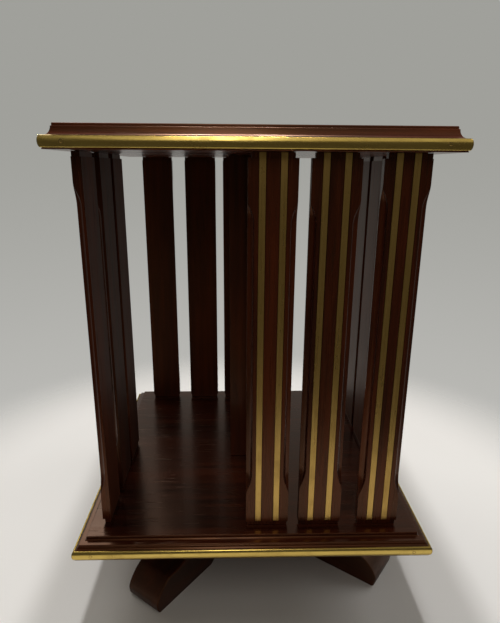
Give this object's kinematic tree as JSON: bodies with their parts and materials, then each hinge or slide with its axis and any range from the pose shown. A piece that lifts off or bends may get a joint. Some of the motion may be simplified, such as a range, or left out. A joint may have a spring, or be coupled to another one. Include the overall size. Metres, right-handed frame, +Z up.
{
  "type": "revolving book rack",
  "caption": "Square table-top book rack that revolves on a cross base, with open book bays, inlaid coved slats and brass-trimmed moulded boards.",
  "frame": {"origin": "on the floor plane, on the vertical axis the rack turns about", "axes": "+Z up along the turning axis, -Y out of the side that the picture shows, +X to that side's right"},
  "size_m": [0.264, 0.264, 0.3599],
  "materials": {
    "mahogany": "french polished, dark reddish brown",
    "mahogany_inside": "oiled, dark reddish brown",
    "brass": "aged, softly polished",
    "steel": "plain turned"
  },
  "bodies": {
    "base": {"base_arm_lower": "mahogany", "base_arm_upper": "mahogany", "swivel_plate_lower": "steel", "thrust_washer": "brass", "pivot_bolt": "steel", "pivot_washer": "steel", "pivot_nut": "steel"},
    "rack": {"bottom_board": "mahogany", "top_board": "mahogany", "bottom_band_front": "brass", "bottom_band_right": "brass", "bottom_band_back": "brass", "bottom_band_left": "brass", "top_band_front": "brass", "top_band_right": "brass", "top_band_back": "brass", "top_band_left": "brass", "front_slat_1": "mahogany", "front_slat_1_string_left": "brass", "front_slat_1_string_right": "brass", "front_slat_2": "mahogany", "front_slat_2_string_left": "brass", "front_slat_2_string_right": "brass", "front_slat_3": "mahogany", "front_slat_3_string_left": "brass", "front_slat_3_string_right": "brass", "right_slat_1": "mahogany", "right_slat_1_string_left": "brass", "right_slat_1_string_right": "brass", "right_slat_2": "mahogany", "right_slat_2_string_left": "brass", "right_slat_2_string_right": "brass", "right_slat_3": "mahogany", "right_slat_3_string_left": "brass", "right_slat_3_string_right": "brass", "back_slat_1": "mahogany", "back_slat_1_string_left": "brass", "back_slat_1_string_right": "brass", "back_slat_2": "mahogany", "back_slat_2_string_left": "brass", "back_slat_2_string_right": "brass", "back_slat_3": "mahogany", "back_slat_3_string_left": "brass", "back_slat_3_string_right": "brass", "left_slat_1": "mahogany", "left_slat_1_string_left": "brass", "left_slat_1_string_right": "brass", "left_slat_2": "mahogany", "left_slat_2_string_left": "brass", "left_slat_2_string_right": "brass", "left_slat_3": "mahogany", "left_slat_3_string_left": "brass", "left_slat_3_string_right": "brass", "column_board_front": "mahogany_inside", "column_board_right": "mahogany_inside", "column_board_back": "mahogany_inside", "column_board_left": "mahogany_inside", "swivel_plate_upper": "steel"}
  },
  "joints": [
    {"name": "rack_spin", "type": "hinge", "parent": "base", "child": "rack", "pos_m": [0, 0, 0.0575], "axis": [0, 0, 1], "continuous": true}
  ]
}
